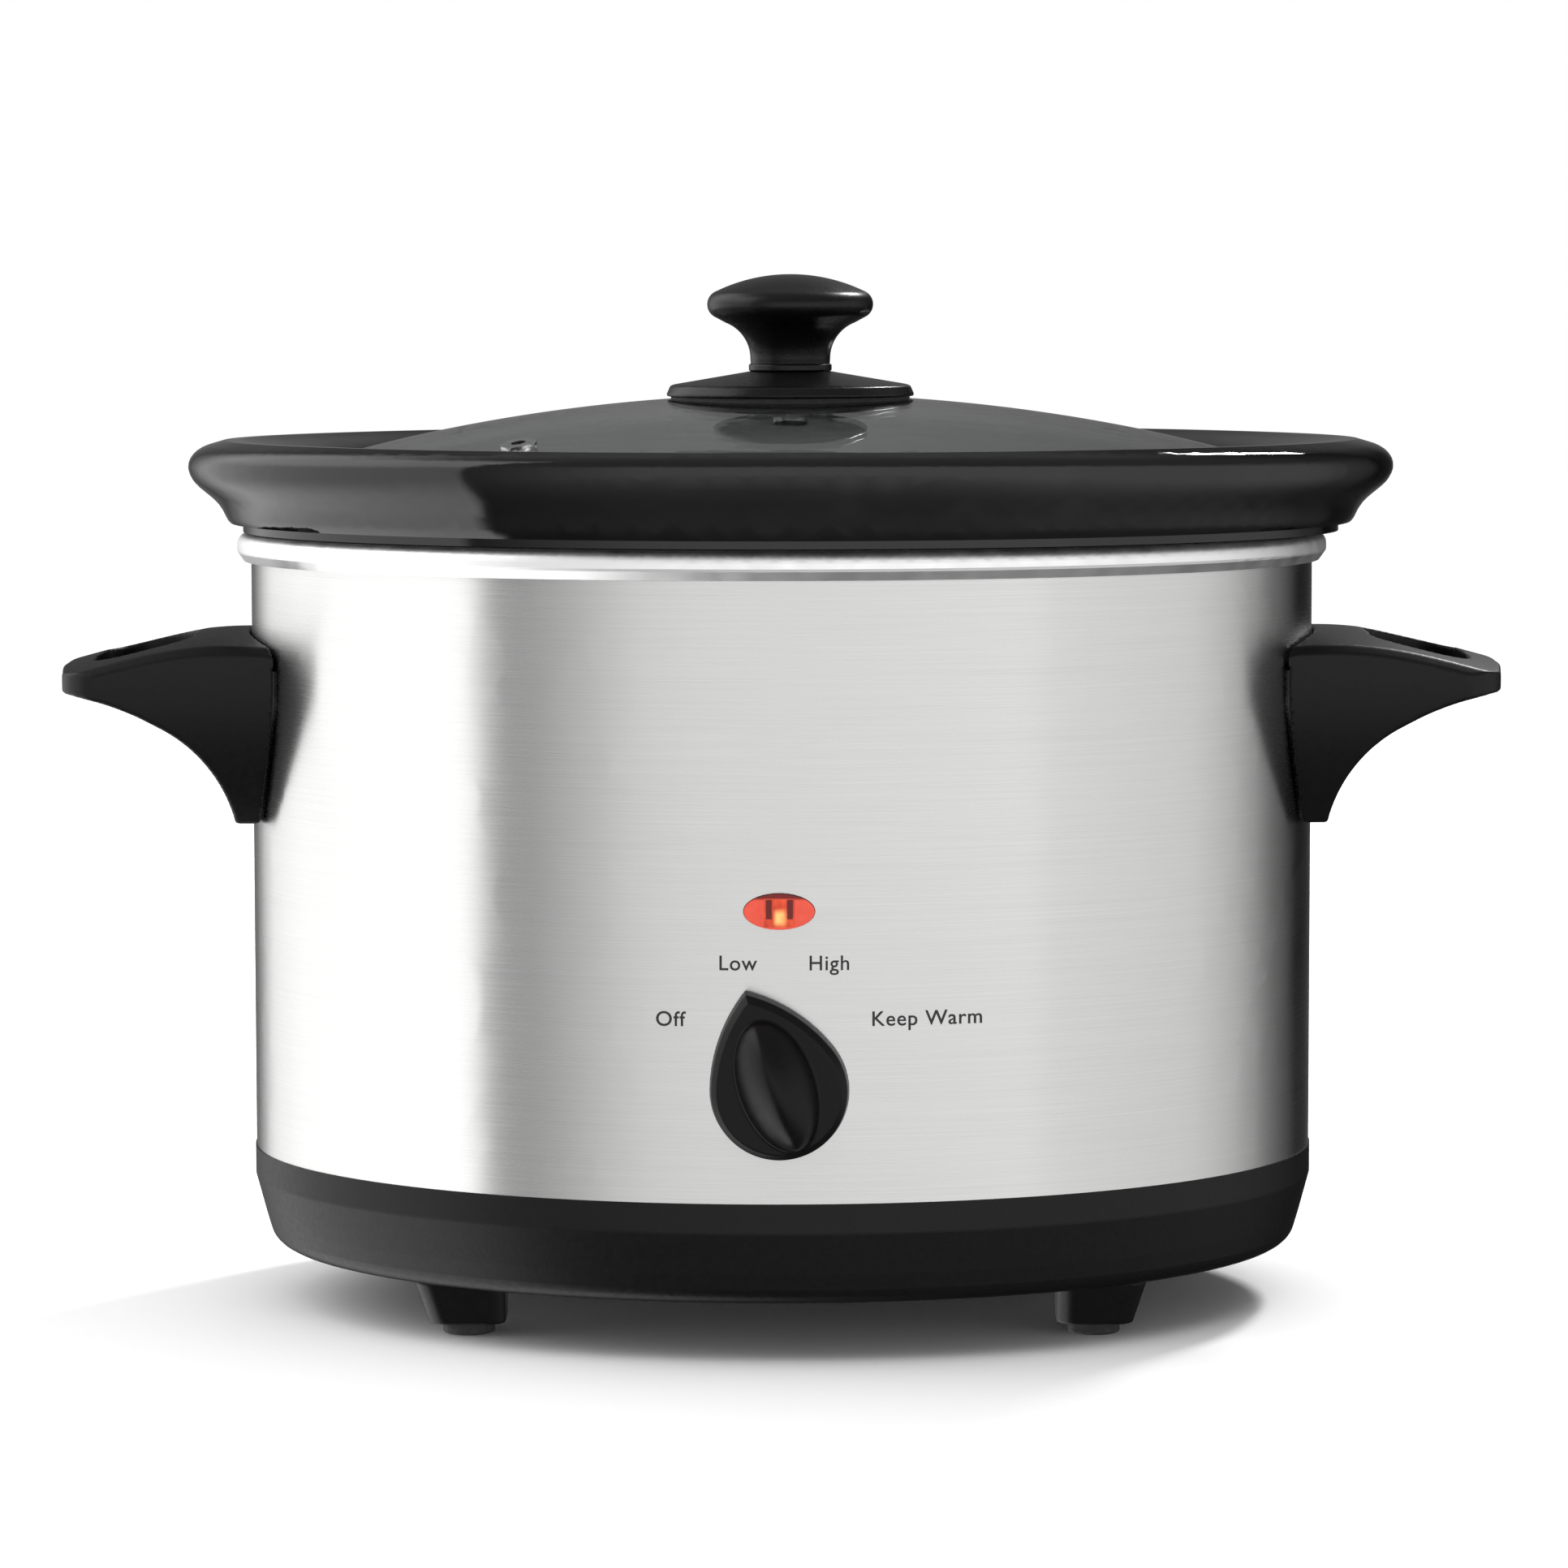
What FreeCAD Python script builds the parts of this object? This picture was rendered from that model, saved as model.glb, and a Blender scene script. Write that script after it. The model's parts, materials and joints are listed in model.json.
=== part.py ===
import FreeCAD, Part
import math
import os

# A 3.5 litre oval slow cooker. Millimetres. X runs along its length, -Y is its front, +Z is up.
# The origin is on the table, under the middle of the oval housing.

V = FreeCAD.Vector

# ---- housing ----
WRAP_A = 139.5          # half length of the steel wrap
WRAP_B = 111.5          # half width of the steel wrap
WRAP_SHEET = 0.8
WRAP_BOTTOM = 41.0
WRAP_TOP = 199.3
OVAL = WRAP_B / WRAP_A

# ---- base and feet ----
TRAY_BOTTOM = 15.0
TRAY_WALL = 2.5
LEG_X = 80.0
LEG_Y = 61.0
LEG_BOTTOM = 3.3
LEG_SIZE = 19.5
LEG_FLARE = 3.5         # how much wider the leg is where it meets the tray
PAD_R = 6.65
PAD_STEM_R = 3.9
BRACKET_Z = 26.0
BRACKET_SHEET = 1.5

# ---- heating pan ----
PAN_FLOOR = 82.0
PAN_SHEET = 1.2
PAN_A = 130.0           # half length inside its mouth
PAN_FLOOR_A = 119.0     # half length inside its floor
RIM_A = 143.2           # half length over the rolled rim
RIM_TOP = 202.4
RIM_LIP = 195.2

# ---- crock ----
CROCK_OVAL = 0.78
BEAD_OVAL = 0.757       # the bead stands further back at the front than at the ends
CROCK_A = 126.0         # half length under the collar
CROCK_BOTTOM = 88.0
CROCK_FLOOR = 94.8
MOUTH_A = 116.5         # half length of the mouth, at the lid ledge
LEDGE_Z = 218.1
COLLAR_TOP = 226.6
CROCK_SHIFT = 2.4       # the crock and its lid stand this far right in the pan, within their play

# ---- lid ----
LID_A = 120.0
LID_B = 94.0
LID_TOP = 238.2
LID_SAG = 15.8          # height of the dome from its edge to its middle
GLASS = 4.0
VENT_X = -68.4
VENT_Y = -60.0
VENT_R = 3.2

# ---- handles ----
HANDLE_TIP = 188.5
HANDLE_TOP = 177.0
HANDLE_BOTTOM = 127.6
HANDLE_HALF_TOP = 41.0  # half width at the top
HANDLE_HALF_LOW = 29.0  # half width at the bottom
HANDLE_BACK = 14.5      # thickness of the part that stands on the wrap
HANDLE_BAR = 7.5        # thickness of the grip bar at the tip
HANDLE_SCREW_Y = 16.0
HANDLE_SCREW_Z = 158.0

# ---- controls ----
DIAL_Z = 69.6
DIAL_R = 17.3
DIAL_TIP = 26.2         # from the axis to the pointed end
DIAL_REST_DEG = 18.6    # the pointer at Low, left of straight up
DIAL_BACK = 0.6         # gap to the wrap
DIAL_PLATE = 6.4
DIAL_GRIP = 17.0        # height of the grip over the back of the dial
GRIP_HALF = 9.6         # half width of the grip's oval foot
GRIP_LONG = 16.8        # its half length
GRIP_UP = 1.9           # how far its middle lies from the axis, towards the pointed end
SHAFT_R = 3.0
BUSH_R = 4.7
RUNNING_FIT = 0.05
LAMP_Z = 113.8
LAMP_HALF_W = 8.75
LAMP_HALF_H = 4.4
GLAND_Z = 60.0
GLAND_REACH = 14.0      # how far the cord gland stands out behind the wrap
CORD_BORE_R = 3.6

GAP = 0.3               # between pieces that lift or turn against each other
SNUG = 0.05             # between pieces that are fastened together


def flat_xz(u, v):
    return V(u, 0, v)


def outline(corners, place=flat_xz):
    """Closed wire through (u, v) corners. A third value rounds that corner, and ("arc", u, v)
    bends the stretch between its two neighbours through that point."""
    count = len(corners)
    begins = {}
    ends = {}
    edges = []
    for i, corner in enumerate(corners):
        if corner[0] == "arc":
            continue
        here = V(corner[0], corner[1], 0)
        radius = corner[2] if len(corner) > 2 else 0
        begins[i] = ends[i] = here
        if radius:
            before = V(*corners[i - 1][:2], 0) - here
            after = V(*corners[(i + 1) % count][:2], 0) - here
            before.normalize()
            after.normalize()
            half = before.getAngle(after) / 2
            middle = before + after
            middle.normalize()
            begins[i] = here + before * (radius / math.tan(half))
            ends[i] = here + after * (radius / math.tan(half))
            middle = here + middle * (radius / math.sin(half) - radius)
            points = [place(p.x, p.y) for p in (begins[i], middle, ends[i])]
            edges.append(Part.Arc(*points).toShape())
    for i, corner in enumerate(corners):
        if corner[0] == "arc":
            continue
        following = (i + 1) % count
        start = ends[i]
        if corners[following][0] == "arc":
            via = corners[following]
            stop = begins[(i + 2) % count]
            points = [place(*p) for p in ((start.x, start.y), via[1:], (stop.x, stop.y))]
            edges.append(Part.Arc(*points).toShape())
        elif start.distanceToPoint(begins[following]) > 1e-6:
            stop = begins[following]
            edges.append(Part.makeLine(place(start.x, start.y), place(stop.x, stop.y)))
    return Part.Wire(Part.__sortEdges__(edges))


def turned(corners, x=0, y=0):
    """Outline of (radius, height) corners turned about an upright axis at x, y."""
    face = Part.Face(outline(corners))
    solid = face.revolve(V(0, 0, 0), V(0, 0, 1), 360)
    solid.translate(V(x, y, 0))
    return solid


def squeezed(solid, ratio):
    matrix = FreeCAD.Matrix()
    matrix.A22 = ratio
    return solid.transformGeometry(matrix)


def oval(corners, ratio=OVAL):
    """Outline of (half length, height) corners taken round an oval."""
    return squeezed(turned(corners), ratio)


def oval_ring(a_in, a_out, z_low, z_high, ratio=OVAL):
    return oval([(a_in, z_low), (a_out, z_low), (a_out, z_high), (a_in, z_high)], ratio)


def lemon(z, a, b, point):
    """Ellipse whose two ends are drawn out by point, as the lifting lugs are."""
    count = 24
    points = []
    for i in range(count):
        t = 2 * math.pi * i / count
        c, s = math.cos(t), math.sin(t)
        points.append(V(c * (a - point) + point * c * abs(c) ** 5, s * b, z))
    return smooth_loop(points)


def smooth_loop(points):
    curve = Part.BSplineCurve()
    curve.interpolate(Points=points, PeriodicFlag=True)
    return Part.Wire([curve.toShape()])


def rod(radius, start, direction, length):
    return Part.makeCylinder(radius, length, start, direction)


def box(x, y, z):
    """Box from its three (low, high) spans."""
    return Part.makeBox(x[1] - x[0], y[1] - y[0], z[1] - z[0], V(x[0], y[0], z[0]))


def mirrored(solid):
    """The same piece on the other end of the housing."""
    return solid.mirror(V(0, 0, 0), V(1, 0, 0))


def wrap_x(y, a=WRAP_A, b=WRAP_B):
    return a * math.sqrt(1 - (y / b) ** 2)


def joined(pieces):
    solid = pieces[0]
    for piece in pieces[1:]:
        solid = solid.fuse(piece)
    return solid.removeSplitter()


def lead(points, bend=6.0, radius=0.9):
    """Insulated wire along straight runs joined by tangent arcs."""
    edges = []
    start = points[0]
    for i in range(1, len(points) - 1):
        here = points[i]
        back = points[i - 1] - here
        on = points[i + 1] - here
        back.normalize()
        on.normalize()
        half = back.getAngle(on) / 2
        reach = bend / math.tan(half)
        middle = back + on
        middle.normalize()
        first = here + back * reach
        last = here + on * reach
        edges.append(Part.makeLine(start, first))
        edges.append(Part.Arc(first, here + middle * (bend / math.sin(half) - bend), last).toShape())
        start = last
    edges.append(Part.makeLine(start, points[-1]))
    path = Part.Wire(edges)
    section = Part.Wire([Part.makeCircle(radius, points[0], points[1] - points[0])])
    return path.makePipeShell([section], True, False)


# ---- housing ----

def handle_screw_holes(radius):
    """Cutters for the two screws of each handle."""
    holes = []
    for side in (1, -1):
        for y in (HANDLE_SCREW_Y, -HANDLE_SCREW_Y):
            holes.append(rod(radius, V(side * 120, y, HANDLE_SCREW_Z), V(side, 0, 0), 27))
    return holes


def lamp_window(grow, y_low, y_high):
    """Oval prism through the front for the lamp, as its lens but larger by grow."""
    ellipse = Part.Ellipse(V(0, y_low, LAMP_Z), LAMP_HALF_W + grow, LAMP_HALF_H + grow)
    ellipse.Axis = V(0, 1, 0)
    ellipse.XAxis = V(1, 0, 0)
    return Part.Face(Part.Wire([ellipse.toShape()])).extrude(V(0, y_high - y_low, 0))


def outer_wrap():
    shell = oval_ring(WRAP_A - WRAP_SHEET, WRAP_A, WRAP_BOTTOM, WRAP_TOP)
    seam = box((56, 66), (60, 120), (WRAP_BOTTOM, RIM_LIP - 1))
    seam = seam.common(oval_ring(WRAP_A - 0.2, WRAP_A + 0.5, WRAP_BOTTOM, RIM_LIP - 1))
    shell = joined([shell, seam])
    outside = WRAP_B + 10
    shell = shell.cut(lamp_window(0.15, -outside, 20 - outside))
    shell = shell.cut(rod(BUSH_R + 0.15, V(0, -outside, DIAL_Z), V(0, 1, 0), 20))
    shell = shell.cut(rod(7.2, V(0, outside, GLAND_Z), V(0, -1, 0), 20))
    for hole in handle_screw_holes(2.2):
        shell = shell.cut(hole)
    return shell


def heating_pan():
    s = PAN_SHEET
    pan = oval([
        (0, PAN_FLOOR),
        (PAN_FLOOR_A + s, PAN_FLOOR, 9),
        (PAN_A + s, RIM_TOP - s, 1.2),
        (RIM_A - s, RIM_TOP - s, 2.0),
        (RIM_A - s, RIM_LIP + 2.9, 0.8),
        (WRAP_A + 0.45, RIM_LIP),
        (WRAP_A + 1.9, RIM_LIP),
        (RIM_A, RIM_LIP + 2.5, 1.2),
        (RIM_A, RIM_TOP, 3.0),
        (PAN_A, RIM_TOP, 2.4),
        (PAN_FLOOR_A, PAN_FLOOR + s, 8),
        (0, PAN_FLOOR + s),
    ])
    return pan


def pan_wall_a(z):
    """Half length outside the pan's wall at a height."""
    share = (z - PAN_FLOOR) / (RIM_TOP - PAN_FLOOR)
    return PAN_FLOOR_A + PAN_SHEET + share * (PAN_A - PAN_FLOOR_A)


def sleeve(low, high, inner, outer):
    """Band that follows the pan's tapered wall, from inner to outer off its face."""
    a, b = pan_wall_a(low), pan_wall_a(high)
    return oval([(a + inner, low), (a + outer, low), (b + outer, high), (b + inner, high)])


def heater_band():
    band = sleeve(126, 170, 0.1, 2.1)
    return band.cut(box((-4, 4), (60, 130), (100, 180)))


def heater_strap(z):
    strap = sleeve(z, z + 8, 2.2, 2.9)
    strap = strap.cut(box((-3, 3), (60, 130), (100, 180)))
    ears = []
    y = (pan_wall_a(z + 4) + 2.5) * OVAL
    for x in (-4.2, 3.2):
        ears.append(box((x, x + 1.0), (y, y + 6.0), (z, z + 8)))
    strap = joined([strap] + ears)
    return strap.cut(rod(1.6, V(-8, y + 3.4, z + 4), V(1, 0, 0), 16))


def strap_screw(z):
    y = (pan_wall_a(z + 4) + 2.5) * OVAL + 3.4
    shank = rod(1.5, V(-7, y, z + 4), V(1, 0, 0), 13.2)
    head = rod(2.6, V(-6.2, y, z + 4), V(1, 0, 0), 1.9)
    nut = rod(2.6, V(4.3, y, z + 4), V(1, 0, 0), 1.8)
    return joined([shank, head, nut])


def tie_stud():
    return joined([rod(3.0, V(0, 0, 18.5), V(0, 0, 1), PAN_FLOOR - SNUG - 18.5),
                   rod(8.0, V(0, 0, PAN_FLOOR - 1.5 - SNUG), V(0, 0, 1), 1.5)])


def hexagon(x, y, z, across_flats, height):
    radius = across_flats / math.sqrt(3)
    turns = [math.radians(60 * i) for i in range(7)]
    points = [V(x + radius * math.cos(turn), y + radius * math.sin(turn), z) for turn in turns]
    return Part.Face(Part.makePolygon(points)).extrude(V(0, 0, height))


def tie_nut():
    nut = hexagon(0, 0, BRACKET_Z - 6.3, 10, 5.0)
    return nut.cut(rod(3.0 + SNUG, V(0, 0, 0), V(0, 0, 1), 60))


def tie_washer():
    low, high = BRACKET_Z - 1.25, BRACKET_Z - SNUG
    return turned([(3.2, low), (6.2, low), (6.2, high), (3.2, high)])


# ---- base ----

def base_corners():
    return [(sx * LEG_X, sy * LEG_Y) for sx in (-1, 1) for sy in (-1, 1)]


def rounded_square(x, y, z, size, radius):
    h = size / 2
    corners = [(x - h, y - h, radius), (x + h, y - h, radius), (x + h, y + h, radius), (x - h, y + h, radius)]
    return outline(corners, lambda u, v: V(u, v, z))


def leg(x, y):
    """Tapered leg screwed on under the tray. It flares outward only, so its inner sides stand upright."""
    shift_x = math.copysign(LEG_FLARE / 2, x)
    shift_y = math.copysign(LEG_FLARE / 2, y)
    foot = rounded_square(x, y, LEG_BOTTOM, LEG_SIZE, 5)
    root = rounded_square(x + shift_x, y + shift_y, TRAY_BOTTOM - SNUG, LEG_SIZE + LEG_FLARE, 5)
    solid = Part.makeLoft([foot, root], True, True)
    solid = solid.cut(rod(PAD_STEM_R + 0.1, V(x, y, 0), V(0, 0, 1), 14.0))
    return solid.cut(rod(2.1, V(x, y, 0), V(0, 0, 1), 40))


def base_tray():
    w = TRAY_WALL
    tray = oval([
        (0, TRAY_BOTTOM),
        (134.6, TRAY_BOTTOM, 5.5),
        (137.0, 23.0, 1.5),
        (WRAP_A + 0.3, 33.5, 2),
        (WRAP_A + 0.3, WRAP_BOTTOM - SNUG),
        (WRAP_A - WRAP_SHEET - 0.4, WRAP_BOTTOM - SNUG),
        (WRAP_A - WRAP_SHEET - 0.4, WRAP_BOTTOM + 5),
        (WRAP_A - WRAP_SHEET - 0.4 - w, WRAP_BOTTOM + 5),
        (WRAP_A - w, 34.0, 2),
        (137.0 - w, 24.0, 1.5),
        (134.6 - w, TRAY_BOTTOM + w, 3),
        (0, TRAY_BOTTOM + w),
    ])
    pieces = [tray]
    for x, y in base_corners():
        pieces.append(rod(5.5, V(x, y, TRAY_BOTTOM), V(0, 0, 1), BRACKET_Z - SNUG - TRAY_BOTTOM))
    tray = joined(pieces)
    for x, y in base_corners():
        tray = tray.cut(rod(2.1, V(x, y, 0), V(0, 0, 1), 40))
    slots = []
    for i in range(-3, 4):
        slots.append(box((i * 9 - 1.5, i * 9 + 1.5), (-14, 14), (TRAY_BOTTOM - 1, TRAY_BOTTOM + w + 1)))
    for slot in slots:
        slot.translate(V(0, 42, 0))
        tray = tray.cut(slot)
    return tray


def foot_pad(x, y):
    pad = turned([(0, 0), (PAD_R, 0, 0.8), (PAD_R, LEG_BOTTOM - SNUG), (PAD_STEM_R, LEG_BOTTOM - SNUG),
                  (PAD_STEM_R, 10.0), (0, 10.0)], x, y)
    return pad


def base_screw(x, y):
    return joined([rod(3.5, V(x, y, 11.4), V(0, 0, 1), 2.5), rod(2.0, V(x, y, 13), V(0, 0, 1), 18)])


def base_bracket():
    z = (BRACKET_Z, BRACKET_Z + BRACKET_SHEET)
    strips = [box((-LEG_X - 9, LEG_X + 9), (side * LEG_Y - 9, side * LEG_Y + 9), z) for side in (-1, 1)]
    plate = joined(strips + [box((-16, 16), (-LEG_Y - 9, LEG_Y + 9), z)])
    for x, y in base_corners():
        plate = plate.cut(rod(2.0 + SNUG, V(x, y, 0), V(0, 0, 1), 60))
    return plate.cut(rod(3.2, V(0, 0, 0), V(0, 0, 1), 60))


# ---- handles, made for the +X end and mirrored ----

def handle_sides():
    """Everything between the handle's two sloping cheeks, rounded at its outer corners in plan."""
    low, high = HANDLE_HALF_LOW, HANDLE_HALF_TOP
    bar = HANDLE_TIP - 2.2
    cheeks = outline([
        (-low, HANDLE_BOTTOM),
        (low, HANDLE_BOTTOM),
        ("arc", high - 3.4, HANDLE_BOTTOM + 19),
        (high, HANDLE_TOP - 8),
        (high, HANDLE_TOP + 5),
        (-high, HANDLE_TOP + 5),
        (-high, HANDLE_TOP - 8),
        ("arc", -high + 3.4, HANDLE_BOTTOM + 19),
    ], lambda u, v: V(100, u, v))
    plan = outline([
        (100, -high),
        (bar - 11, -high),
        ("arc", bar - 2.9, -high + 3.6),
        (bar, -high + 12),
        ("arc", HANDLE_TIP, 0),
        (bar, high - 12),
        ("arc", bar - 2.9, high - 3.6),
        (bar - 11, high),
        (100, high),
    ], lambda u, v: V(u, v, HANDLE_BOTTOM - 5))
    body = Part.Face(cheeks).extrude(V(HANDLE_TIP - 90, 0, 0))
    return body.common(Part.Face(plan).extrude(V(0, 0, 70)))


def handle_profile():
    """Side view: nearly level on top, a blunt nose, and a long hollow curve underneath."""
    wire = outline([
        (100, HANDLE_TOP + 5),
        (HANDLE_TIP - 0.9, HANDLE_TOP + 5),
        (HANDLE_TIP - 0.9, 168.4),
        ("arc", HANDLE_TIP, 165.3),
        (HANDLE_TIP - 1.0, 162.3),
        ("arc", 175.9, 160.0),
        (161.0, 153.6),
        ("arc", 149.3, 144.2),
        (141.9, HANDLE_BOTTOM),
        (100, HANDLE_BOTTOM),
    ], lambda u, v: V(u, -60, v))
    return Part.Face(wire).extrude(V(0, 120, 0))


def finger_opening():
    """Slot that goes right through between the wrap side and the grip bar."""
    inner = WRAP_A + HANDLE_BACK
    outer = HANDLE_TIP - HANDLE_BAR
    half = HANDLE_HALF_TOP - 9.5
    plan = outline([
        (inner, -half + 4, 14),
        (outer - 2, -half, 10),
        (outer - 2, half, 10),
        (inner, half - 4, 14),
    ], lambda u, v: V(u, v, HANDLE_BOTTOM - 5))
    return Part.Face(plan).extrude(V(0, 0, 70))


def roof_section(x, top):
    """Outline across the handle under its roof, with bevels along both upper edges."""
    half = HANDLE_HALF_TOP
    return outline([(-half, top - 4.5), (-half + 2.2, top - 2.3), ("arc", 0, top), (half - 2.2, top - 2.3),
                    (half, top - 4.5), (half + 5, 100), (-half - 5, 100)], lambda u, v: V(x, u, v))


def handle_roof():
    """Everything under the upper face, which falls towards the tip and a little to both cheeks."""
    falls = [(110, 0.0), (145, 0.1), (157, 1.2), (168, 3.4), (180, 6.5), (192, 9.8)]
    return Part.makeLoft([roof_section(x, HANDLE_TOP - fall) for x, fall in falls], True, False)


def handle():
    solid = handle_profile().common(handle_sides()).common(handle_roof())
    housing = oval([(0, 80), (WRAP_A + 0.65, 80), (WRAP_A + 0.65, 210), (0, 210)])
    solid = solid.cut(housing).cut(finger_opening())
    for y in (HANDLE_SCREW_Y, -HANDLE_SCREW_Y):
        solid = solid.cut(rod(2.0, V(120, y, HANDLE_SCREW_Z), V(1, 0, 0), 24.5))
    return max(solid.Solids, key=lambda s: s.Volume)


def handle_gasket():
    footprint = outline([(-HANDLE_HALF_LOW + 1, HANDLE_BOTTOM + 1), (HANDLE_HALF_LOW - 1, HANDLE_BOTTOM + 1),
                         (HANDLE_HALF_TOP - 1.2, HANDLE_TOP - 18), (HANDLE_HALF_TOP - 1.2, HANDLE_TOP - 9),
                         (-HANDLE_HALF_TOP + 1.2, HANDLE_TOP - 9), (-HANDLE_HALF_TOP + 1.2, HANDLE_TOP - 18)],
                        lambda u, v: V(110, u, v))
    pad = Part.Face(footprint).extrude(V(60, 0, 0))
    pad = pad.common(oval_ring(WRAP_A + SNUG, WRAP_A + 0.6, 100, 200))
    for hole in handle_screw_holes(2.3):
        pad = pad.cut(hole)
    return pad


def handle_stiffener():
    """Curved steel strip inside the wrap that the handle's screws pull against."""
    strip = box((100, 150), (-26, 26), (HANDLE_SCREW_Z - 9, HANDLE_SCREW_Z + 9))
    strip = strip.common(oval_ring(WRAP_A - WRAP_SHEET - 1.25, WRAP_A - WRAP_SHEET - SNUG, 100, 200))
    for hole in handle_screw_holes(2.2):
        strip = strip.cut(hole)
    return strip


def handle_screws():
    screws = []
    for y in (HANDLE_SCREW_Y, -HANDLE_SCREW_Y):
        x = wrap_x(abs(y) + 3.8) - WRAP_SHEET - 1.5
        screws.append(joined([rod(3.6, V(x - 2.4, y, HANDLE_SCREW_Z), V(1, 0, 0), 2.4),
                              rod(1.95, V(x - 0.5, y, HANDLE_SCREW_Z), V(1, 0, 0), 144 - x)]))
    return Part.makeCompound(screws)


# ---- crock ----

def crock():
    body = oval([
        (0, CROCK_BOTTOM),
        (112.0, CROCK_BOTTOM, 16),
        (CROCK_A, 203.0),
        (CROCK_A, COLLAR_TOP - 10),
        (0, COLLAR_TOP - 10),
    ], CROCK_OVAL)
    bead = oval([
        (0, RIM_TOP + GAP),
        (144.0, RIM_TOP + GAP),
        (144.0, 208.5),
        (0, 208.5),
    ], BEAD_OVAL)
    collar_sections = [
        (205.1, 147.2, 118.0, 0),
        (208.6, 149.3, 118.9, 0.5),
        (211.6, 151.9, 119.6, 2.3),
        (214.6, 155.6, 120.4, 5.0),
        (217.6, 157.8, 121.1, 6.5),
        (220.4, 158.2, 121.7, 7.0),
        (223.2, 156.7, 121.9, 6.8),
        (225.4, 153.0, 120.6, 6.2),
        (COLLAR_TOP, 148.9, 118.4, 5.4),
    ]
    collar = Part.makeLoft([lemon(*section) for section in collar_sections], True, False)
    dish_sections = [
        (COLLAR_TOP + 0.6, 147.0, 117.0, 5.5),
        (224.9, 138.0, 110.5, 4),
        (222.0, 128.5, 101.8, 1.5),
        (LEDGE_Z, 123.6, 97.0, 0),
    ]
    dish = Part.makeLoft([lemon(*section) for section in dish_sections], True, False)
    cavity = oval([
        (0, CROCK_FLOOR),
        (104.0, CROCK_FLOOR, 12),
        (MOUTH_A, 205.0),
        (MOUTH_A, LEDGE_Z + 1),
        (0, LEDGE_Z + 1),
    ], CROCK_OVAL)
    return joined([body, bead, collar]).cut(dish).cut(cavity)


# ---- lid ----

def dome(drop, rim_a=LID_A):
    """Everything under the lid's upper face lowered by drop, squeezed to the lid's oval."""
    radius = (LID_A ** 2 + LID_SAG ** 2) / (2 * LID_SAG)
    ball = Part.makeSphere(radius - drop, V(0, 0, LID_TOP - radius))
    core = Part.makeCylinder(rim_a, 60, V(0, 0, LID_TOP - 50))
    return squeezed(ball.common(core), LID_B / LID_A)


def lid_height(x, y):
    return LID_TOP - LID_SAG * ((x / LID_A) ** 2 + (y / LID_B) ** 2)


def vent_frame():
    """The vent's place on the dome, and the way the glass faces there."""
    spot = V(VENT_X, VENT_Y, lid_height(VENT_X, VENT_Y))
    way = V(2 * LID_SAG * VENT_X / LID_A ** 2, 2 * LID_SAG * VENT_Y / LID_B ** 2, 1)
    way.normalize()
    return spot, way


def glass_lid():
    glass = dome(0).cut(dome(GLASS, LID_A + 5))
    spot, way = vent_frame()
    glass = glass.cut(rod(VENT_R + 0.1, spot - way * 10, way, 20))
    return glass.cut(rod(3.2, V(0, 0, LID_TOP - 20), V(0, 0, 1), 30))


def vent_grommet():
    spot, way = vent_frame()
    neck = rod(VENT_R, spot - way * (GLASS + 0.6), way, GLASS + 1.2)
    flange = rod(VENT_R + 1.5, spot + way * 0.06, way, 0.8)
    lower = rod(VENT_R + 1.2, spot - way * (GLASS + 0.8), way, 0.7)
    return joined([neck, flange, lower]).cut(rod(1.9, spot - way * 10, way, 20))


def knob_head():
    head = turned([
        (0, 269.7),
        ("arc", 11.0, 268.35),
        (19.4, 265.3),
        ("arc", 21.8, 261.6),
        (19.6, 258.4),
        (17.0, 257.0),
        ("arc", 12.2, 253.2),
        (10.5, 247.5),
        (10.4, 246.3),
        (0, 246.3),
    ])
    return head.cut(rod(3.6, V(0, 0, 240), V(0, 0, 1), 18.5))


def knob_insert():
    sleeve_part = rod(3.6 - SNUG, V(0, 0, 246.5), V(0, 0, 1), 11.5)
    return sleeve_part.cut(rod(2.1, V(0, 0, 240), V(0, 0, 1), 30))


def knob_collar():
    return turned([(2.4, 244.3), (10.9, 244.3, 0.5), (10.9, 246.25, 0.5), (2.4, 246.25)])


def knob_skirt():
    return turned([
        (2.4, 239.3),
        (29.5, 239.3),
        (30.6, 237.75),
        (32.8, 237.75, 0.5),
        (31.6, 240.5),
        ("arc", 18.5, 242.0),
        (10.9, 244.25),
        (2.4, 244.25),
    ])


def skirt_gasket():
    ring = turned([(27.8, 234.5), (31.4, 234.5), (31.4, 237.7), (27.8, 237.7)])
    return ring.cut(dome(0))


def seal_washer():
    ring = turned([(3.0, 235.0), (13.0, 235.0), (13.0, 239.25), (3.0, 239.25)])
    return ring.cut(dome(0))


def lid_washer():
    top = LID_TOP - GLASS - 0.1
    return turned([(2.4, top - 1.2), (9.0, top - 1.2), (9.0, top - 0.1), (2.4, top - 0.1)])


def lid_screw():
    top = LID_TOP - GLASS - 1.35
    return turned([(0, top - 2.6), (4.6, top - 2.6, 1.2), (4.6, top), (2.0, top), (2.0, 256.5), (0, 256.5)])


# ---- dial and switch; the dial is drawn pointing straight up, then turned to Low ----

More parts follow.
